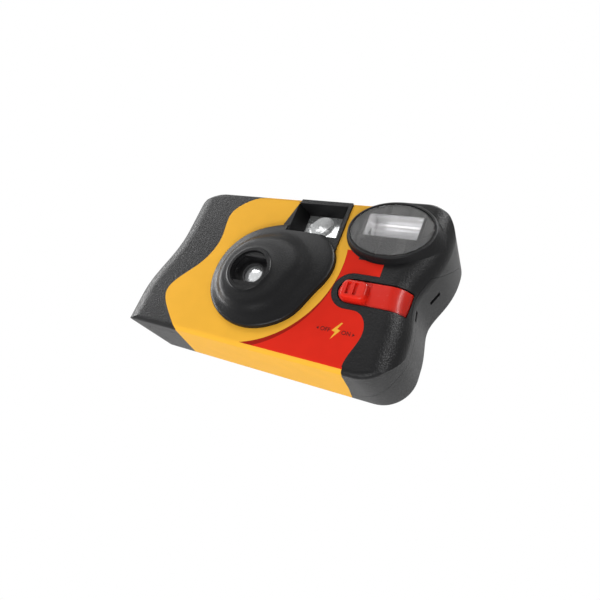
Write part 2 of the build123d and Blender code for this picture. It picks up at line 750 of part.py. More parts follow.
# Tower that guides the button's stem and carries its spring
def button_guide():
    stem_x = button_x + stem_radius
    low = button_spring_low_z - 2 * rib_thick
    left = cassette_x + chamber_radius
    tower = rod_z(stem_x, button_y, low, button_spring_low_z, coil_radius + 2 * coil_wire)
    tower = tower + block(left, stem_x, button_y - stem_radius, button_y + stem_radius, low,
                          button_spring_low_z)
    tower = tower + block(left, left + rib_thick, button_y - 2 * stem_radius, button_y + 2 * stem_radius,
                          deck_low_z, button_spring_low_z)
    return tower - rod_z(stem_x, button_y, low - overrun, button_spring_low_z + overrun,
                         stem_radius + run_gap)


# Lens, the holder that carries it on the chassis, and the ring that keeps it in
def make_taking_lens():
    back = lens_front_y + lens_dome + fit_gap
    bulge = (lens_radius ** 2 + lens_dome ** 2) / (2 * lens_dome)
    flange = rod_y(lens_x, lens_z, back, back + lens_edge, throat_radius + fit_gap)
    front = Pos(lens_x, lens_front_y + bulge, lens_z) * Sphere(bulge)
    front = front & rod_y(lens_x, lens_z, lens_front_y - overrun, back + lens_edge / 2, lens_radius)
    return main_solid(flange + front)


def make_lens_holder():
    back = lens_front_y + lens_dome + fit_gap + lens_edge
    holder = rod_y(lens_x, lens_z, back + fit_gap, lens_holder_back_y, throat_radius + wall + wall)
    arm = block(lens_x, lens_x + front_plate_right, back + fit_gap, lens_holder_back_y,
                lens_z - throat_radius - pivot_boss, lens_z + throat_radius + pivot_boss)
    rim = rod_y(lens_x, lens_z, back - lens_edge, lens_holder_back_y, throat_radius + wall)
    holder = holder + arm + rim - rod_y(lens_x, lens_z, back - 2 * lens_edge, back,
                                        throat_radius + 2 * fit_gap)
    hole = rod_y(lens_x, lens_z, back - overrun, lens_holder_back_y + overrun, aperture_radius + lens_edge)
    return main_solid(holder - hole)


def make_lens_ring():
    back = lens_front_y + lens_dome
    ring = rod_y(lens_x, lens_z, back - lens_edge, back, throat_radius - fit_gap)
    return ring - rod_y(lens_x, lens_z, back - overrun, back + overrun, lens_radius + fit_gap)


# Film cassette: rolled shell with its felted lip, two pressed caps and the spool
def make_cassette_can():
    low, high = can_low_z + can_cap, can_high_z - can_cap
    lip_y = film_y + film_thick / 2
    shell = rod_z(cassette_x, cassette_y, low, high, can_radius)
    lip_x = cassette_x + sqrt(can_radius ** 2 - (lip_y - cassette_y) ** 2) + can_lip
    lip = block(cassette_x, lip_x, lip_y - lip_plate - film_thick, lip_y + lip_plate + film_thick, low, high)
    shell = shell + lip - rod_z(cassette_x, cassette_y, low - overrun, high + overrun, can_radius - can_shell)
    slit = block(cassette_x, lip_x + overrun, lip_y - film_thick, lip_y + film_thick, low - overrun,
                 high + overrun)
    return main_solid(shell - slit)


def make_cassette_caps():
    caps = []
    for low, inward in ((can_low_z, 1), (can_high_z - can_cap, -1)):
        cap = rod_z(cassette_x, cassette_y, low, low + can_cap, can_radius)
        cap = fillet(cap.edges(), can_cap / 3)
        caps.append(cap - rod_z(cassette_x, cassette_y, low - overrun, low + overrun,
                                can_hub_radius + run_gap))
    return caps[0] + caps[1]


def make_cassette_spool():
    spool = rod_z(cassette_x, cassette_y, can_low_z - can_hub_rise / 2, can_high_z + can_hub_rise,
                  can_hub_radius)
    core = rod_z(cassette_x, cassette_y, can_low_z + 2 * can_cap, can_high_z - 2 * can_cap,
                 2 * can_hub_radius)
    core = core - rod_z(cassette_x, cassette_y, can_low_z, can_high_z, can_hub_bore + can_cap)
    spool = spool - core
    bore = rod_z(cassette_x, cassette_y, can_high_z - 2 * can_hub_rise, can_high_z + overrun, can_hub_bore)
    lower = rod_z(cassette_x, cassette_y, can_low_z - overrun, can_low_z + 2 * can_hub_rise, can_hub_bore)
    key = block(cassette_x - can_hub_bore, cassette_x + can_hub_bore, cassette_y - can_cap / 2,
                cassette_y + can_cap / 2, can_high_z - can_hub_rise, can_high_z)
    return main_solid(spool - bore - lower + key)


# Winding wheel: knurled disc with a forked hub that turns the spool
def make_thumbwheel():
    disc = rod_z(cassette_x, cassette_y, wheel_low_z, wheel_high_z, wheel_radius)
    disc = fillet(disc.edges(), knurl_depth)
    pitch = 2 * pi * wheel_radius / knurl_count
    grooves = []
    for index in range(knurl_count):
        angle = 2 * pi * index / knurl_count
        reach = wheel_radius + pitch / 4
        grooves.append(rod_z(cassette_x + reach * cos(angle), cassette_y + reach * sin(angle),
                             wheel_low_z - overrun, wheel_high_z + overrun, pitch / 4 + knurl_depth))
    disc = disc - grooves
    dish = rod_z(cassette_x, cassette_y, wheel_high_z - wheel_thick / 3, wheel_high_z + overrun,
                 wheel_radius - 2 * can_hub_rise)
    dish = dish - rod_z(cassette_x, cassette_y, wheel_low_z, wheel_high_z + overrun, can_hub_radius)
    fork = rod_z(cassette_x, cassette_y, can_high_z - can_hub_rise + fit_gap, wheel_low_z + knurl_depth,
                 wheel_fork_radius)
    fork = fork - block(cassette_x - 2 * wheel_fork_radius, cassette_x + 2 * wheel_fork_radius,
                        cassette_y - can_cap / 2 - fit_gap, cassette_y + can_cap / 2 + fit_gap,
                        can_low_z, wheel_low_z - knurl_depth)
    axle = rod_z(cassette_x, cassette_y, wheel_low_z, wheel_high_z + can_hub_rise, shaft_radius)
    return main_solid(disc - dish + fork + axle)


# Film: a strip across the gate with its two rows of perforations, and the unused roll
def make_film_strip():
    left = cassette_x + can_hub_radius + film_thick
    right = roll_x
    strip = block(left, right, film_y, film_y + film_thick, film_low_z, film_high_z)
    count = int((right - left - 2 * perforation_pitch) / perforation_pitch)
    holes = []
    for index in range(count):
        x = left + perforation_pitch * (index + 1)
        for z in (film_low_z + perforation_edge, film_high_z - perforation_edge):
            holes.append(block(x - perforation_height / 2, x + perforation_height / 2, film_y - overrun,
                               film_y + overrun, z - perforation_width / 2, z + perforation_width / 2))
    return strip - holes


def make_film_roll():
    roll = rod_z(roll_x, roll_y, film_low_z, film_high_z, roll_radius)
    return roll - rod_z(roll_x, roll_y, film_low_z - overrun, film_high_z + overrun,
                        roll_core_radius + run_gap)


def make_supply_spool():
    core = rod_z(roll_x, roll_y, film_low_z - roll_flange_rise, film_high_z, roll_core_radius)
    flange = rod_z(roll_x, roll_y, film_low_z - roll_flange_rise, film_low_z - fit_gap, roll_radius)
    bore = rod_z(roll_x, roll_y, film_low_z - overrun, film_high_z - overrun / 2, pivot_radius + run_gap)
    return core + flange - bore


# Sprocket with its eight teeth, the cam that times the shutter and the counter's finger
def make_sprocket():
    wheel = rod_z(sprocket_x, sprocket_y, sprocket_low_z, sprocket_low_z + sprocket_thick, sprocket_radius)
    tooth = block(0, sprocket_radius + tooth_rise, -tooth_width / 2, tooth_width / 2, sprocket_low_z,
                  sprocket_low_z + sprocket_thick)
    for index in range(sprocket_teeth):
        angle = 360 / sprocket_teeth * (index + 1 / 2)
        wheel = wheel + Pos(sprocket_x, sprocket_y) * Rot(0, 0, angle) * tooth
    top = counter_low_z + counter_thick
    shaft = rod_z(sprocket_x, sprocket_y, sprocket_low_z, top, shaft_radius)
    cam = rod_z(sprocket_x, sprocket_y, metering_low_z, metering_low_z + cam_thick, cam_radius)
    notch = block(sprocket_x + cam_radius - cam_notch, sprocket_x + 2 * cam_radius,
                  sprocket_y - cam_notch / 2, sprocket_y + cam_notch / 2, metering_low_z - overrun,
                  metering_low_z + overrun)
    finger = block(sprocket_x - finger_reach, sprocket_x, sprocket_y - finger_width / 2,
                   sprocket_y + finger_width / 2, counter_low_z, top)
    return main_solid(wheel + shaft + (cam - notch) + finger)


# Exposure counter: thin toothed disc on its post
def make_counter_wheel():
    disc = rod_z(counter_x, counter_y, counter_low_z, counter_low_z + counter_thick, counter_radius)
    notches = []
    for index in range(counter_teeth):
        angle = 2 * pi * index / counter_teeth
        notches.append(rod_z(counter_x + counter_radius * cos(angle), counter_y + counter_radius * sin(angle),
                             counter_low_z - overrun, counter_low_z + overrun, counter_notch))
    hub_bore = rod_z(counter_x, counter_y, counter_low_z - overrun, counter_low_z + overrun,
                     pivot_radius + run_gap)
    return main_solid(disc - notches - hub_bore)


# Shutter blade: a disc over the aperture, its arm to the pivot and the tail above it
def make_shutter_blade():
    y0, y1 = blade_y, blade_y + blade_thick
    tail_top = deck_high_z + striker_thick
    disc = rod_y(lens_x, lens_z, y0, y1, blade_disc_radius)
    boss = rod_y(blade_pivot_x, blade_pivot_z, y0, y1, pivot_boss)
    run, rise = lens_x - blade_pivot_x, lens_z - blade_pivot_z
    arm = Rectangle(sqrt(run ** 2 + rise ** 2), blade_arm)
    arm = Rot(0, 0, degrees(atan2(rise, run))) * arm
    arm = Pos((lens_x + blade_pivot_x) / 2, (lens_z + blade_pivot_z) / 2) * arm
    tail = block(blade_pivot_x - blade_arm / 2, blade_pivot_x + blade_arm / 2, y0, y1, blade_pivot_z,
                 tail_top)
    blade = disc + boss + from_front(arm, y0, y1) + tail
    hole = rod_y(blade_pivot_x, blade_pivot_z, y0 - overrun, y1 + overrun, pivot_radius + run_gap)
    return main_solid(blade - hole)


# A flat lever between two points seen from above, round at both ends, with a pivot hole at the first
def flat_lever(x0, y0, x1, y1, low, thick, lever_width):
    run, rise = x1 - x0, y1 - y0
    bar = Pos((x0 + x1) / 2, (y0 + y1) / 2) * Rot(0, 0, degrees(atan2(rise, run))) * Rectangle(
        sqrt(run ** 2 + rise ** 2), lever_width)
    lever = from_above(bar, low, low + thick) + rod_z(x0, y0, low, low + thick, pivot_boss)
    lever = lever + rod_z(x1, y1, low, low + thick, lever_width / 2)
    return lever - rod_z(x0, y0, low - overrun, low + overrun, pivot_radius + run_gap)


def make_striker():
    tip_x = blade_pivot_x - blade_arm / 2 - seat_gap - striker_width / 2
    tip_y = blade_y + striker_width / 2
    low = deck_high_z + fit_gap
    striker = flat_lever(striker_x, striker_y, tip_x, tip_y, low, striker_thick, striker_width)
    return main_solid(striker)


def make_metering_lever():
    long_arm = flat_lever(metering_x, metering_y, button_x + stem_radius, button_y, metering_low_z,
                          metering_thick, striker_width)
    beak_x = sprocket_x + cam_radius + seat_gap + striker_width / 2
    beak = flat_lever(metering_x, metering_y, beak_x, sprocket_y, metering_low_z, metering_thick,
                      striker_width)
    hole = rod_z(metering_x, metering_y, metering_low_z - overrun, metering_low_z + overrun,
                 pivot_radius + run_gap)
    return main_solid(long_arm + beak - hole)


# Shutter button: oval cap with a skirt under the top wall and a stem down to the lever
def make_shutter_button():
    top = height + button_rise
    skirt_top = height - wall - fit_gap
    cap = from_above(button_outline(0), skirt_top - button_skirt, top)
    cap = fillet(cap.faces().sort_by(Axis.Z)[-1].edges(), button_rise / 2)
    skirt = from_above(button_outline(button_skirt), skirt_top - button_skirt, skirt_top)
    stem_low = metering_low_z + metering_thick + button_travel + seat_gap
    stem = rod_z(button_x + stem_radius, button_y, stem_low, skirt_top, stem_radius)
    return main_solid(cap + skirt + stem)


# Open coil around a vertical line
def coil(x, y, low, high, radius, turns):
    path = Pos(x, y, low) * Helix((high - low) / turns, high - low, radius)
    section = Plane(origin=path @ 0, z_dir=path % 0) * Circle(coil_wire)
    return sweep(section, path=path)


def make_button_spring():
    low = button_spring_low_z + coil_wire + fit_gap
    high = height - wall - 2 * fit_gap - button_skirt - coil_wire
    return coil(button_x + stem_radius, button_y, low, high, coil_radius, coil_turns)


def make_striker_spring():
    low = deck_high_z + striker_thick + 2 * fit_gap + coil_wire
    high = metering_low_z - fit_gap - coil_wire
    return coil(striker_x, striker_y, low, high, pivot_radius + 2 * coil_wire, 2)


# Flash switch: finger knob with raised bars on a strip that runs behind the slot
def make_flash_slider():
    middle = (slot_low_z + slot_high_z) / 2
    left = slot_left_x + strip_gap
    right = left + knob_left_inset + knob_width
    radius = (slot_high_z - slot_low_z) / 2 - strip_gap
    bend, low, high = left + radius, middle - radius, middle + radius
    edges = [ThreePointArc((bend, high), (left, middle), (bend, low)), Line((bend, low), (right, low)),
             Line((right, low), (right, high)), Line((right, high), (bend, high))]
    strip = from_front(make_face(Curve() + edges), strip_sink, strip_sink + strip_thick)
    knob_middle = left + knob_left_inset + knob_width / 2
    knob = Pos(knob_middle, middle) * RectangleRounded(knob_width, knob_height, knob_height / 3)
    knob = from_front(knob, strip_sink - knob_rise, strip_sink + strip_thick / 2)
    knob = fillet(knob.faces().sort_by(Axis.Y)[0].edges(), knob_groove_depth)
    for index in range(2):
        x = left + knob_left_inset + knob_rib_pitch * (index + 1)
        knob = knob - block(x - knob_rib_width / 2, x + knob_rib_width / 2, strip_sink - 2 * knob_rise,
                            strip_sink - knob_rise + knob_groove_depth, middle - knob_height / 3,
                            middle + knob_height / 3)
    foot = block(left + radius, right, strip_sink + strip_thick / 2, wall + strip_thick + fit_gap,
                 middle - radius / 2, middle + radius / 2)
    plate = block(left + radius, right - knob_left_inset, wall + fit_gap, wall + strip_thick + fit_gap,
                  slot_low_z - slot_rim / 2, slot_high_z + slot_rim / 2)
    return main_solid(strip + knob + foot + plate)


# The strip's flexible end, which follows the curve of the body into the slot's right end
def make_slider_band():
    middle = (slot_low_z + slot_high_z) / 2
    left = slot_left_x + strip_gap + knob_left_inset + knob_width + fit_gap
    radius = (slot_high_z - slot_low_z) / 2 - strip_gap
    window = block(left, slot_right_x - strip_gap, 0, side_round, middle - radius, middle + radius)
    return main_solid((body(strip_sink) - body(strip_sink + strip_thick)) & window)


# Clear pieces
def make_view_front_lens():
    y0 = view_window_y + 2 * fit_gap
    border = view_lens_border
    lens = block(view_window_left_x - border, view_window_right_x + border, y0, y0 + view_lens_thick,
                 view_window_low_z - border, view_window_high_z + border)
    dish_radius = view_window_right_x - view_window_left_x
    dish_x = (view_window_left_x + view_window_right_x) / 2
    dish = Pos(dish_x, y0 + view_lens_thick / 2 - dish_radius, (view_window_low_z + view_window_high_z) / 2)
    return main_solid(lens - dish * Sphere(dish_radius))


def make_eyepiece():
    back = depth - wall / 2
    glass = eyepiece_block(0, back - eyepiece_thick, back)
    radius = eyepiece_width
    middle = (view_window_left_x + view_window_right_x) / 2
    level = (view_window_low_z + view_window_high_z) / 2
    bulge = Pos(middle, back + eyepiece_bulge - radius, level) * Sphere(radius)
    flange = eyepiece_block(view_lens_border, inner_back_y - eyepiece_thick, inner_back_y - fit_gap)
    bulge = bulge & eyepiece_block(-fit_gap, back - eyepiece_thick, depth)
    return main_solid(glass + flange + bulge)


def make_flash_cover():
    disc = extrude(flash_oval(0, flash_disc_thick), amount=flash_disc_thick)
    disc = fillet(disc.edges().sort_by(Axis.Z)[-1], flash_disc_thick / 3)
    return flash_frame() * disc


def make_counter_window():
    x, y = counter_window_place()
    plug = rod_z(x, y, height - wall - button_skirt, height, counter_window_radius - fit_gap)
    flange = rod_z(x, y, height - wall - button_skirt, height - wall - fit_gap,
                   counter_window_radius + button_skirt)
    return plug + flange


def make_ready_lamp():
    bulb = rod_z(lamp_x, lamp_y, height - lamp_length, height, lamp_radius)
    return fillet(bulb.edges().sort_by(Axis.Z)[-1], lamp_radius / 3)


# Flash: mirror trough, xenon tube, circuit board with its capacitor and transformer
def make_reflector():
    x0, x1 = reflector_x - reflector_width / 2, reflector_x + reflector_width / 2
    outer = Ellipse(reflector_depth, reflector_height / 2 + reflector_wall)
    inner = Ellipse(reflector_depth - reflector_wall, reflector_height / 2)
    place = Pos(x0, reflector_front_y, reflector_z)
    trough = extrude(Plane.YZ * outer, amount=x1 - x0 + 2 * reflector_wall)
    trough = Pos(-reflector_wall, 0, 0) * trough - extrude(Plane.YZ * inner, amount=x1 - x0)
    trough = place * trough & block(-half_width, half_width, reflector_front_y, depth, 0, pod_top)
    return main_solid(trough - rod_x(tube_y(), reflector_z, x0 - overrun, x1 + overrun,
                                     tube_radius + fit_gap))


def tube_y():
    return reflector_front_y + reflector_depth - reflector_wall - 2 * tube_radius


def make_flash_tube():
    x0, x1 = reflector_x - reflector_width / 2, reflector_x + reflector_width / 2
    tube = rod_x(tube_y(), reflector_z, x0 - tube_overhang, x1 + tube_overhang, tube_radius)
    pins = rod_x(tube_y(), reflector_z, x0 - 2 * tube_overhang, x1 + 2 * tube_overhang, tube_radius / 3)
    return tube + pins


def make_circuit_board():
    board = block(board_left_x, board_right_x, board_front_y, board_back_y, board_low_z + fit_gap,
                  board_low_z + board_thick)
    parts = []
    for index, size in enumerate([transformer_core, transformer_core / 2, transformer_core / 2]):
        x = board_left_x + transformer_size / 2 + index * transformer_size
        parts.append(block(x, x + size, board_front_y + fit_gap, board_front_y + size,
                           board_low_z + board_thick, board_low_z + board_thick + size / 2))
    return main_solid((board + parts) & body(wall + fit_gap))


def make_capacitor():
    x0 = board_left_x + rib_thick
    can = rod_x(capacitor_y, capacitor_z, x0, x0 + capacitor_length, capacitor_radius)
    can = fillet(can.edges(), capacitor_radius / 8)
    leads = []
    for y in (capacitor_y - capacitor_radius / 2, capacitor_y + capacitor_radius / 2):
        leads.append(block(x0 + capacitor_length, x0 + capacitor_length + rib_thick, y, y + contact_thick,
                           board_low_z + board_thick, capacitor_z))
    return main_solid(can + leads)


def make_transformer():
    x1 = board_right_x - rib_thick
    z0 = board_low_z + board_thick
    y0 = board_front_y + rib_thick
    core = block(x1 - transformer_size, x1, y0, y0 + transformer_core, z0, z0 + transformer_size)
    winding = rod_x(y0 + transformer_core / 2, z0 + transformer_size / 2, x1 - transformer_size + rib_thick,
                    x1 - rib_thick, transformer_core / 2 + fit_gap)
    return main_solid(core + winding)


# Battery and its two contact springs
def make_battery():
    can = rod_x(battery_y, battery_z, battery_left_x, battery_right_x - battery_nub, battery_radius)
    can = fillet(can.edges(), battery_nub / 2)
    return can + rod_x(battery_y, battery_z, battery_left_x + battery_nub, battery_right_x,
                       battery_nub_radius)


def make_contact(left):
    half = contact_width / 2 - rib_thick
    return block(left, left + contact_thick, battery_y - half, battery_y + half,
                 battery_z - battery_radius + rib_thick, battery_z + battery_radius - rib_thick)


# Sync contact: a leaf of sheet metal on the chassis that the blade's tail closes
def make_sync_contact():
    open_angle = radians(blade_swing)
    tail = deck_high_z + striker_thick - blade_pivot_z
    x0 = blade_pivot_x + tail * sin(open_angle) + blade_arm / 2 * cos(open_angle) + seat_gap
    leaf = block(x0, x0 + contact_thick, blade_y - blade_thick, cone_front_y - fit_gap,
                 deck_low_z - contact_width / 2, deck_high_z + 2 * contact_thick)
    foot = block(x0, x0 + contact_width / 2, blade_y, cone_front_y + cone_wall, deck_high_z + fit_gap,
                 deck_high_z + 2 * contact_thick)
    return main_solid(leaf + foot)


def make_switch_contact():
    x0 = slot_left_x + slot_rim
    x1 = right_waist_reach - side_round
    return block(x0, x1, switch_contact_y, switch_contact_y + contact_thick, slot_low_z, slot_high_z)


def make_all():
    front_cover, rear_cover, label, film_door = make_casing()
    return {
        "front_cover": front_cover,
        "rear_cover": rear_cover,
        "wrap_label": label,
        "film_door": film_door,
        "main_frame": make_main_frame(),
        "taking_lens": make_taking_lens(),
        "lens_holder": make_lens_holder(),
        "lens_ring": make_lens_ring(),
        "viewfinder_front_lens": make_view_front_lens(),
        "viewfinder_eyepiece": make_eyepiece(),
        "flash_cover": make_flash_cover(),
        "flash_reflector": make_reflector(),
        "flash_tube": make_flash_tube(),
        "flash_circuit_board": make_circuit_board(),
        "flash_capacitor": make_capacitor(),
        "flash_transformer": make_transformer(),
        "ready_lamp": make_ready_lamp(),
        "battery": make_battery(),
        "battery_contact_minus": make_contact(battery_left_x - contact_thick - fit_gap),
        "battery_contact_plus": make_contact(battery_right_x + fit_gap),
        "sync_contact": make_sync_contact(),
        "switch_contact": make_switch_contact(),
        "counter_window": make_counter_window(),
        "cassette_can": make_cassette_can(),
        "cassette_caps": make_cassette_caps(),
        "cassette_spool": make_cassette_spool(),
        "thumbwheel": make_thumbwheel(),
        "film_strip": make_film_strip(),
        "film_roll": make_film_roll(),
        "supply_spool": make_supply_spool(),
        "sprocket_shaft": make_sprocket(),
        "counter_wheel": make_counter_wheel(),
        "shutter_blade": make_shutter_blade(),
        "striker_lever": make_striker(),
        "metering_lever": make_metering_lever(),
        "shutter_button": make_shutter_button(),
        "button_spring": make_button_spring(),
        "striker_spring": make_striker_spring(),
        "flash_slider": make_flash_slider(),
        "slider_band": make_slider_band(),
    }


# The origin ends up on the table, under the middle of the camera's depth
front_limit_y = -ring_rise
to_origin = Pos(0, -(front_limit_y + depth) / 2, 0)

os.makedirs("parts", exist_ok=True)
for name, piece in make_all().items():
    export_step(to_origin * piece, f"parts/{name}.step")
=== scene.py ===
import bpy
import math
import numpy as np
from mathutils import Matrix, Vector


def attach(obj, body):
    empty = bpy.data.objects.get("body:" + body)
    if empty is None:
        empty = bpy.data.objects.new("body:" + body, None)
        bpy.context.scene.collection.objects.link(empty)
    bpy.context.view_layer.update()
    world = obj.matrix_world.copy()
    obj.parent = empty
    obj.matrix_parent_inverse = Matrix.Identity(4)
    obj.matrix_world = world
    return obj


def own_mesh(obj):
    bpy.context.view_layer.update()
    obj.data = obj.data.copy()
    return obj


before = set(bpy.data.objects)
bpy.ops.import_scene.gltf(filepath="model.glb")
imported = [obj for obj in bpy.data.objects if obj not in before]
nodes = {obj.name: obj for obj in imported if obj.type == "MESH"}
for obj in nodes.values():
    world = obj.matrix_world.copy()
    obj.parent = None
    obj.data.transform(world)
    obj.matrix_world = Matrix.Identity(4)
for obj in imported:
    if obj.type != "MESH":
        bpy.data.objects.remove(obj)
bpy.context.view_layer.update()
scene = bpy.context.scene
scene.view_settings.view_transform = "Standard"

# Lengths are in metres. The front looks towards -y, the flash end is at +x, and the body
# stands on z = 0.
FRONT_Y = -0.01345              # the body's flat front face
LENS_X, LENS_Z = -0.005, 0.0265
DOME_REACH = 0.03               # the lens surround lies within this distance of the lens axis
DOME_AHEAD = 0.0007             # and stands further out than this from the front face

# Printed arcs of the label: x and z of the centre, radius
YELLOW_ARC = (-0.01015, 0.03658, 0.0365)
STRIPE_ARC = (-0.01133, 0.0356, 0.0378)
# The part of the label that the arcs cut out of the yellow
RED_LEFT_X = -0.0045
RED_LOW_Z, RED_HIGH_Z = 0.0014, 0.0425

YELLOW = (0.84, 0.436, 0.044, 1)
RED = (0.68, 0.024, 0.012, 1)
STRIPE = (0.33, 0.013, 0.008, 1)
BLACK = (0.008, 0.008, 0.0085, 1)
DOME_BLACK = (0.0065, 0.0065, 0.007, 1)

# Most of a noise lies between these two values
NOISE_LOW, NOISE_HIGH = 0.3, 0.7


def grey(level):
    return (level, level, level, 1)


def shade(color, factor):
    return tuple(channel * factor for channel in color[:3]) + (1,)


# Short calls for the nodes of a material or a world
class Tree:
    def __init__(self, owner):
        owner.use_nodes = True
        self.nodes = owner.node_tree.nodes
        self.links = owner.node_tree.links
        self.nodes.clear()

    def add(self, kind):
        return self.nodes.new("ShaderNode" + kind)

    # A slot takes another node's output or a plain value
    def feed(self, slot, value):
        if isinstance(value, bpy.types.NodeSocket):
            self.links.new(value, slot)
        else:
            slot.default_value = value

    def feed_all(self, slots, values):
        for slot, value in zip(slots, values):
            self.feed(slot, value)

    def math(self, operation, *values):
        node = self.add("Math")
        node.operation = operation
        self.feed_all(node.inputs, values)
        return node.outputs[0]

    def mix_shaders(self, factor, first, second):
        node = self.add("MixShader")
        self.feed_all(node.inputs, (factor, first, second))
        return node.outputs[0]


class Material(Tree):
    def __init__(self, name):
        self.made = bpy.data.materials.new(name)
        super().__init__(self.made)
        self.output = self.add("OutputMaterial")
        self.shader = self.add("BsdfPrincipled")
        self.feed(self.output.inputs["Surface"], self.shader.outputs[0])
        self.place = self.add("TexCoord").outputs["Object"]

    def put(self, socket, value):
        self.feed(self.shader.inputs[socket], value)

    def axes(self):
        node = self.add("SeparateXYZ")
        self.feed(node.inputs[0], self.place)
        return node.outputs

    def noise(self, scale, detail, stretch=(1, 1, 1)):
        mapping = self.add("Mapping")
        self.feed(mapping.inputs["Vector"], self.place)
        self.feed(mapping.inputs["Scale"], stretch)
        node = self.add("TexNoise")
        self.feed(node.inputs["Vector"], mapping.outputs[0])
        self.feed(node.inputs["Scale"], scale)
        self.feed(node.inputs["Detail"], detail)
        return node.outputs["Fac"]

    # Spreads a value's range from low to high over the range from to_low to to_high
    def span(self, value, low, high, to_low, to_high):
        node = self.add("MapRange")
        self.feed_all(node.inputs, (value, low, high, to_low, to_high))
        return node.outputs[0]

    def noise_span(self, noise, to_low, to_high):
        return self.span(noise, NOISE_LOW, NOISE_HIGH, to_low, to_high)

    # In the Mix node the colours are inputs 6 and 7 and output 2
    def mix(self, factor, first, second):
        node = self.add("Mix")
        node.data_type = "RGBA"
        self.feed_all((node.inputs[0], node.inputs[6], node.inputs[7]), (factor, first, second))
        return node.outputs[2]

    # A colour that drifts between two shades of itself
    def drift(self, noise, color, darker, lighter):
        return self.mix(self.noise_span(noise, 0, 1), shade(color, darker), shade(color, lighter))

    def bump(self, height, strength, distance):
        node = self.add("Bump")
        self.feed(node.inputs["Strength"], strength)
        self.feed(node.inputs["Distance"], distance)
        self.feed(node.inputs["Height"], height)
        return node.outputs[0]

    def distance(self, across, up):
        across_squared = self.math("MULTIPLY", across, across)
        up_squared = self.math("MULTIPLY", up, up)
        return self.math("SQRT", self.math("ADD", across_squared, up_squared))

    # Distance in the front view from a point given by its x and z
    def front_distance(self, x, z, point_x, point_z):
        return self.distance(self.math("SUBTRACT", x, point_x), self.math("SUBTRACT", z, point_z))


# Moulded, painted or metal surface: slight colour change, uneven gloss and a fine relief,
# whose height is in millimetres
def surface(name, color, rough, metal=0.0, grain=2600, relief=0.05, vary=0.08, stretch=(1, 1, 1),
            shine=0.4):
    m = Material(name)
    m.put("Base Color", m.drift(m.noise(90, 3), color, 1 - vary, 1 + vary))
    fine = m.noise(grain, 4, stretch)
    m.put("Roughness", m.noise_span(fine, rough * 0.88, rough * 1.12))
    m.put("Normal", m.bump(fine, 1.0, relief * 0.001))
    m.put("Metallic", metal)
    m.put("Specular IOR Level", shine)
    return m.made


# Clear piece. A mirror above zero silvers it faintly, as finder windows are
def clear(name, color, rough, ior, body=1.0, mirror=0.0, ripple=0.0):
    m = Material(name)
    cloud = m.noise(160, 2)
    m.put("Base Color", m.drift(cloud, color, 0.96, 1.0))
    m.put("Roughness", m.noise_span(cloud, rough * 0.8, rough * 1.2))
    m.put("Transmission Weight", body)
    m.put("IOR", ior)
    m.put("Metallic", mirror)
    if ripple:
        m.put("Normal", m.bump(m.noise(330, 3), 1.0, ripple))
    return m.made


# Casing: grained black plastic, smoother and darker on the lens surround
def casing_material():
    m = Material("grained_black")
    x, y, z = m.axes()
    near = m.math("LESS_THAN", m.front_distance(x, z, LENS_X, LENS_Z), DOME_REACH)
    dome = m.math("MULTIPLY", near, m.math("LESS_THAN", y, FRONT_Y - DOME_AHEAD))
    m.put("Base Color", m.mix(dome, m.drift(m.noise(70, 3), BLACK, 0.9, 1.12), DOME_BLACK))
    grain = m.noise(1900, 2)
    smoother = m.math("MULTIPLY", dome, 0.05)
    m.put("Roughness", m.math("SUBTRACT", m.span(grain, 0.35, 0.65, 0.33, 0.43), smoother))
    depth = m.math("SUBTRACT", 1.0, m.math("MULTIPLY", dome, 0.55))
    m.put("Normal", m.bump(m.math("MULTIPLY", grain, depth), 1.0, 0.00015))
    m.put("Specular IOR Level", 0.12)
    return m.made


# Label: yellow field, a darker arc stripe and a red field, all printed on one satin film
def label_material():
    m = Material("printed_film")
    x, _, z = m.axes()
    right = m.math("GREATER_THAN", x, RED_LEFT_X)
    above = m.math("GREATER_THAN", z, RED_LOW_Z)
    below = m.math("LESS_THAN", z, RED_HIGH_Z)
    part = m.math("MULTIPLY", m.math("MULTIPLY", above, right), below)

    def beyond(arc):
        arc_x, arc_z, radius = arc
        outside = m.math("GREATER_THAN", m.front_distance(x, z, arc_x, arc_z), radius)
        return m.math("MULTIPLY", outside, part)

    ink = m.noise(120, 3)
    yellow_and_stripe = m.mix(beyond(YELLOW_ARC), m.drift(ink, YELLOW, 0.97, 1.02), STRIPE)
    m.put("Base Color", m.mix(beyond(STRIPE_ARC), yellow_and_stripe, m.drift(ink, RED, 0.95, 1.03)))
    grain = m.noise(1500, 3)
    m.put("Roughness", m.noise_span(grain, 0.38, 0.48))
    m.put("Specular IOR Level", 0.02)
    m.put("Normal", m.bump(grain, 1.0, 0.00002))
    return m.made


# Bright trough with fine pressed lines along its length, one at each pitch of z. The lines' relief
# is a bump. Their light and dark banding in the colour is painted reflection
def reflector_material():
    pitch = 0.0012
    m = Material("bright_trough")
    _, _, z = m.axes()
    wave = m.math("SINE", m.math("MULTIPLY", z, 2 * math.pi / pitch))
    # Painted reflection: the colour runs from grey to white across each line
    m.put("Base Color", m.mix(m.span(wave, -1, 1, 0, 1), (0.74, 0.74, 0.76, 1), grey(1)))
    m.put("Metallic", 1.0)
    m.put("Roughness", m.noise_span(m.noise(500, 2), 0.18, 0.26))
    m.put("Normal", m.bump(wave, 0.6, 0.0001))
    return m.made


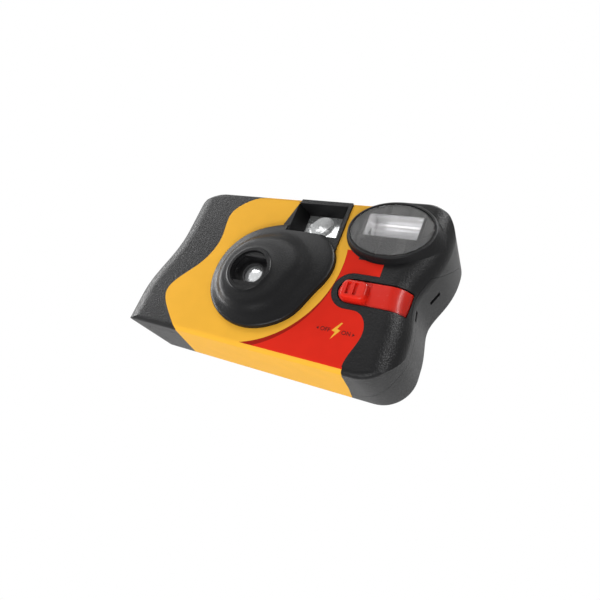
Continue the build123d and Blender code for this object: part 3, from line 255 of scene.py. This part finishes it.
black = casing_material()
label = label_material()
inner_black = surface("inner_black", (0.014, 0.014, 0.015, 1), 0.55, relief=0.04)
wheel_black = surface("wheel_black", (0.02, 0.02, 0.021, 1), 0.42, relief=0.04)
red_gloss = surface("red_gloss", (0.66, 0.02, 0.01, 1), 0.25, grain=900, relief=0.01, vary=0.03,
                    shine=0.14)
button_grey = surface("button_grey", (0.16, 0.16, 0.165, 1), 0.4)
spring_steel = surface("spring_steel", (0.5, 0.5, 0.52, 1), 0.3, metal=1.0, relief=0.01,
                       stretch=(1, 1, 12))
contact_steel = surface("contact_steel", (0.62, 0.61, 0.58, 1), 0.3, metal=1.0, relief=0.01,
                        stretch=(8, 1, 1))
can_paint = surface("can_paint", (0.6, 0.6, 0.58, 1), 0.32, metal=0.3, relief=0.01)
cap_black = surface("cap_black", (0.02, 0.02, 0.022, 1), 0.3, metal=0.4, relief=0.01)
film_base = surface("film_base", (0.05, 0.035, 0.03, 1), 0.2, grain=700, relief=0.005)
board_green = surface("board_green", (0.02, 0.11, 0.05, 1), 0.35, relief=0.02)
sleeve = surface("capacitor_sleeve", (0.02, 0.02, 0.035, 1), 0.25, relief=0.01)
tape = surface("winding_tape", (0.6, 0.42, 0.06, 1), 0.4, relief=0.02)
wrap = surface("battery_wrap", (0.55, 0.56, 0.6, 1), 0.3, metal=0.5, relief=0.01)
white = surface("counter_white", (0.75, 0.75, 0.72, 1), 0.4, relief=0.02)
blade = surface("blade_black", (0.05, 0.05, 0.055, 1), 0.35, metal=0.8, relief=0.01)
lever = surface("lever_plastic", (0.03, 0.03, 0.034, 1), 0.45)
# The finder window's pale grey diffuse colour is painted glow: it stands in for the light that
# comes through the finder from behind
finder_glass_painted_glow = clear("finder_glass_painted_glow", (0.72, 0.73, 0.73, 1), 0.26, 1.45, body=0.3, mirror=0.5,
                   ripple=0.0002)
lens_glass = clear("lens_glass", (0.95, 0.96, 0.97, 1), 0.12, 1.6, body=0.4, mirror=0.5,
                   ripple=0.0001)
clear_plastic = clear("clear_plastic", (0.9, 0.93, 0.93, 1), 0.03, 1.45)
smoky = clear("smoky_clear", (0.62, 0.61, 0.6, 1), 0.03, 1.25)
tube_glass = clear("tube_glass", (0.92, 0.94, 0.97, 1), 0.02, 1.45)
lamp_orange = clear("lamp_orange", (0.9, 0.3, 0.06, 1), 0.1, 1.45, body=0.6)

MATERIALS = {
    "front_cover": black,
    "rear_cover": black,
    "film_door": black,
    "wrap_label": label,
    "main_frame": inner_black,
    "taking_lens": lens_glass,
    "lens_holder": inner_black,
    "lens_ring": inner_black,
    "viewfinder_front_lens": finder_glass_painted_glow,
    "viewfinder_eyepiece": clear_plastic,
    "flash_cover": smoky,
    "flash_reflector": reflector_material(),
    "flash_tube": tube_glass,
    "flash_circuit_board": board_green,
    "flash_capacitor": sleeve,
    "flash_transformer": tape,
    "ready_lamp": lamp_orange,
    "battery": wrap,
    "battery_contact_minus": contact_steel,
    "battery_contact_plus": contact_steel,
    "sync_contact": contact_steel,
    "switch_contact": contact_steel,
    "counter_window": clear_plastic,
    "cassette_can": can_paint,
    "cassette_caps": cap_black,
    "cassette_spool": wheel_black,
    "thumbwheel": wheel_black,
    "film_strip": film_base,
    "film_roll": film_base,
    "supply_spool": inner_black,
    "sprocket_shaft": lever,
    "counter_wheel": white,
    "shutter_blade": blade,
    "striker_lever": lever,
    "metering_lever": lever,
    "shutter_button": button_grey,
    "button_spring": spring_steel,
    "striker_spring": spring_steel,
    "flash_slider": red_gloss,
    "slider_band": red_gloss,
}
for name, material in MATERIALS.items():
    piece = nodes[name]
    piece.data.materials.clear()
    piece.data.materials.append(material)
    for polygon in piece.data.polygons:
        polygon.material_index = 0


def add_object(name, data):
    made = bpy.data.objects.new(name, data)
    scene.collection.objects.link(made)
    return made


# Generic marks printed on the label under the switch
MARK_Z = 0.0127
MARK_THICKNESS = 0.00006
ARROW_HALF_HEIGHT = 0.0005
WORD_SIZE = 0.0020
WORD_AHEAD = 0.00003            # from the front face to the middle of a word's thickness
WORD_HALF_THICKNESS = 0.00004
BOLT = [(0.0331, 0.0159), (0.0308, 0.0128), (0.0321, 0.0125), (0.0312, 0.0098), (0.0337, 0.0133),
        (0.0324, 0.0136), (0.0337, 0.0159)]

mark_ink = surface("mark_ink", (0.07, 0.01, 0.008, 1), 0.4, relief=0.005, shine=0.1)
bolt_ink = surface("bolt_ink", YELLOW, 0.35, relief=0.005, vary=0.02, shine=0.1)


def print_on_label(name, mesh, material):
    mark = add_object(name, mesh)
    mark.data.materials.clear()
    mark.data.materials.append(material)
    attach(mark, "casing")


# A thin plate with the outline given by its x and z, slightly sunk into the label
def flat_mark(name, outline, material):
    front = [(x, FRONT_Y - MARK_THICKNESS, z) for x, z in outline]
    back = [(x, FRONT_Y + MARK_THICKNESS / 4, z) for x, z in outline]
    count = len(outline)
    faces = [tuple(range(count)), tuple(range(2 * count - 1, count - 1, -1))]
    faces += [(i, count + i, count + (i + 1) % count, (i + 1) % count) for i in range(count)]
    mesh = bpy.data.meshes.new(name)
    mesh.from_pydata(front + back, [], faces)
    mesh.validate()
    print_on_label(name, mesh, material)


def word(name, text, x):
    curve = bpy.data.curves.new(name, "FONT")
    curve.body = text
    curve.size = WORD_SIZE
    curve.extrude = WORD_HALF_THICKNESS
    curve.align_x = "CENTER"
    curve.align_y = "CENTER"
    written = add_object(name, curve)
    upright = Matrix.Rotation(math.radians(90), 4, "X")
    written.matrix_world = Matrix.Translation((x, FRONT_Y - WORD_AHEAD, MARK_Z)) @ upright
    bpy.context.view_layer.update()
    evaluated = written.evaluated_get(bpy.context.evaluated_depsgraph_get())
    mesh = bpy.data.meshes.new_from_object(evaluated)
    mesh.transform(written.matrix_world)
    bpy.data.objects.remove(written)
    print_on_label(name, mesh, mark_ink)


# The sign of the half height lets both arrows' outlines turn the same way round
def arrow(name, tip_x, base_x):
    half = math.copysign(ARROW_HALF_HEIGHT, base_x - tip_x)
    outline = [(tip_x, MARK_Z), (base_x, MARK_Z - half), (base_x, MARK_Z + half)]
    flat_mark(name, outline, mark_ink)


word("mark_off", "OFF", 0.0285)
word("mark_on", "ON", 0.0358)
arrow("mark_arrow_left", 0.0253, 0.0261)
arrow("mark_arrow_right", 0.0388, 0.038)
flat_mark("mark_bolt", BOLT, bolt_ink)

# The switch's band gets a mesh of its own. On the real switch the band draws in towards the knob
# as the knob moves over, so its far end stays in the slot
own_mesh(nodes["slider_band"])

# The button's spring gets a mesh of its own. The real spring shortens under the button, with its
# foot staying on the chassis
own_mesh(nodes["button_spring"])


# Floor: a pale plane that can be seen through from its underside, since the photo looks up
# from below. Towards its rim it fades into the white background.
FLOOR_SIZE = 4.0
FADE_START, FADE_END = 0.15, 0.6


def floor_material():
    m = Material("pale_floor")
    m.put("Base Color", m.mix(m.noise(12, 2), grey(0.86), grey(0.9)))
    m.put("Roughness", 0.6)
    x, y, _ = m.axes()
    to_camera = m.add("LightPath").outputs["Is Camera Ray"]
    faded = m.math("MULTIPLY", m.span(m.distance(x, y), FADE_START, FADE_END, 0, 1), to_camera)
    plain_white = m.add("Emission").outputs[0]
    from_above = m.mix_shaders(faded, m.shader.outputs[0], plain_white)
    underside = m.add("NewGeometry").outputs["Backfacing"]
    see_through = m.add("BsdfTransparent").outputs[0]
    m.feed(m.output.inputs["Surface"], m.mix_shaders(underside, from_above, see_through))
    return m.made


bpy.ops.mesh.primitive_plane_add(size=FLOOR_SIZE, location=(0, 0, 0))
floor = bpy.context.object
floor.name = "floor"
floor.data.materials.append(floor_material())
floor.visible_diffuse = False
floor.visible_glossy = False
floor.visible_transmission = False
floor.visible_shadow = False

# World: white for the camera, gloss and glass, and a soft grey light for everything else
WHITE_STRENGTH, SOFT_STRENGTH = 1.0, 0.24
world = bpy.data.worlds.new("studio")
scene.world = world
sky = Tree(world)


def background(strength):
    node = sky.add("Background")
    sky.feed(node.inputs["Color"], grey(1))
    sky.feed(node.inputs["Strength"], strength)
    return node.outputs[0]


ray = sky.add("LightPath").outputs
direct = sky.math("MAXIMUM", ray["Is Camera Ray"], ray["Is Transmission Ray"])
sees_white = sky.math("MAXIMUM", direct, ray["Is Glossy Ray"])
lit = sky.mix_shaders(sees_white, background(SOFT_STRENGTH), background(WHITE_STRENGTH))
sky.feed(sky.add("OutputWorld").inputs["Surface"], lit)


# Lamps all point at the middle of the body. A lamp for gloss only adds a sheen to the black
# plastic and doesn't change the level of the colours.
BODY_MIDDLE = Vector((0.0, 0.0, 0.03))


def lamp(name, place, size, power, gloss_only=False):
    data = bpy.data.lights.new(name, "AREA")
    data.shape = "RECTANGLE"
    data.size, data.size_y = size
    data.energy = power
    light = add_object(name, data)
    light.location = place
    light.rotation_euler = (BODY_MIDDLE - Vector(place)).to_track_quat("-Z", "Y").to_euler()
    light.visible_diffuse = not gloss_only


lamp("key", (-0.35, -0.55, 0.55), (0.5, 0.35), 2.7)
lamp("top", (0.12, 0.2, 0.55), (0.25, 0.25), 2.4)
lamp("left_strip", (-0.6, -0.12, 0.0), (0.05, 0.4), 2.8)
lamp("right_strip", (0.62, -0.45, 0.28), (0.04, 0.3), 0.5)
lamp("below", (0.1, -0.3, -0.55), (0.5, 0.3), 4.2)
lamp("back", (-0.35, 0.6, 0.45), (0.6, 0.4), 1.6)
lamp("rim_sheen", (-0.5, -0.16, 0.24), (0.25, 0.4), 2.0, gloss_only=True)
lamp("shoulder_sheen", (0.24, -0.24, 0.45), (0.16, 0.16), 4.5, gloss_only=True)
lamp("grip_sheen", (0.5, -0.5, 0.3), (0.04, 0.35), 3.0, gloss_only=True)

# Camera, as solved from the photo's perspective. Angles are in degrees.
AZIMUTH, ELEVATION, ROLL = 30.377, -19.233, 22.123
CAMERA_PLACE = (0.09192, -0.14317, -0.03164)
FOCAL_PIXELS = 472.95
PHOTO_WIDTH = 600.0
SENSOR_WIDTH = 36.0
NEAREST_SHOWN = 0.01


# The camera's own right, up and backward directions
def camera_axes():
    a, e, r = math.radians(AZIMUTH), math.radians(ELEVATION), math.radians(ROLL)
    back = np.array([math.sin(a) * math.cos(e), -math.cos(a) * math.cos(e), math.sin(e)])
    level = np.cross(-back, [0, 0, 1])
    level /= np.linalg.norm(level)
    upright = np.cross(level, -back)
    right = math.cos(r) * level + math.sin(r) * upright
    up = -math.sin(r) * level + math.cos(r) * upright
    return right, up, back


turn = Matrix(np.column_stack(camera_axes()).tolist()).to_4x4()
view = add_object("camera", bpy.data.cameras.new("camera"))
view.matrix_world = Matrix.Translation(CAMERA_PLACE) @ turn
view.data.sensor_width = SENSOR_WIDTH
view.data.lens = FOCAL_PIXELS * SENSOR_WIDTH / PHOTO_WIDTH
view.data.clip_start = NEAREST_SHOWN
bpy.context.scene.camera = view
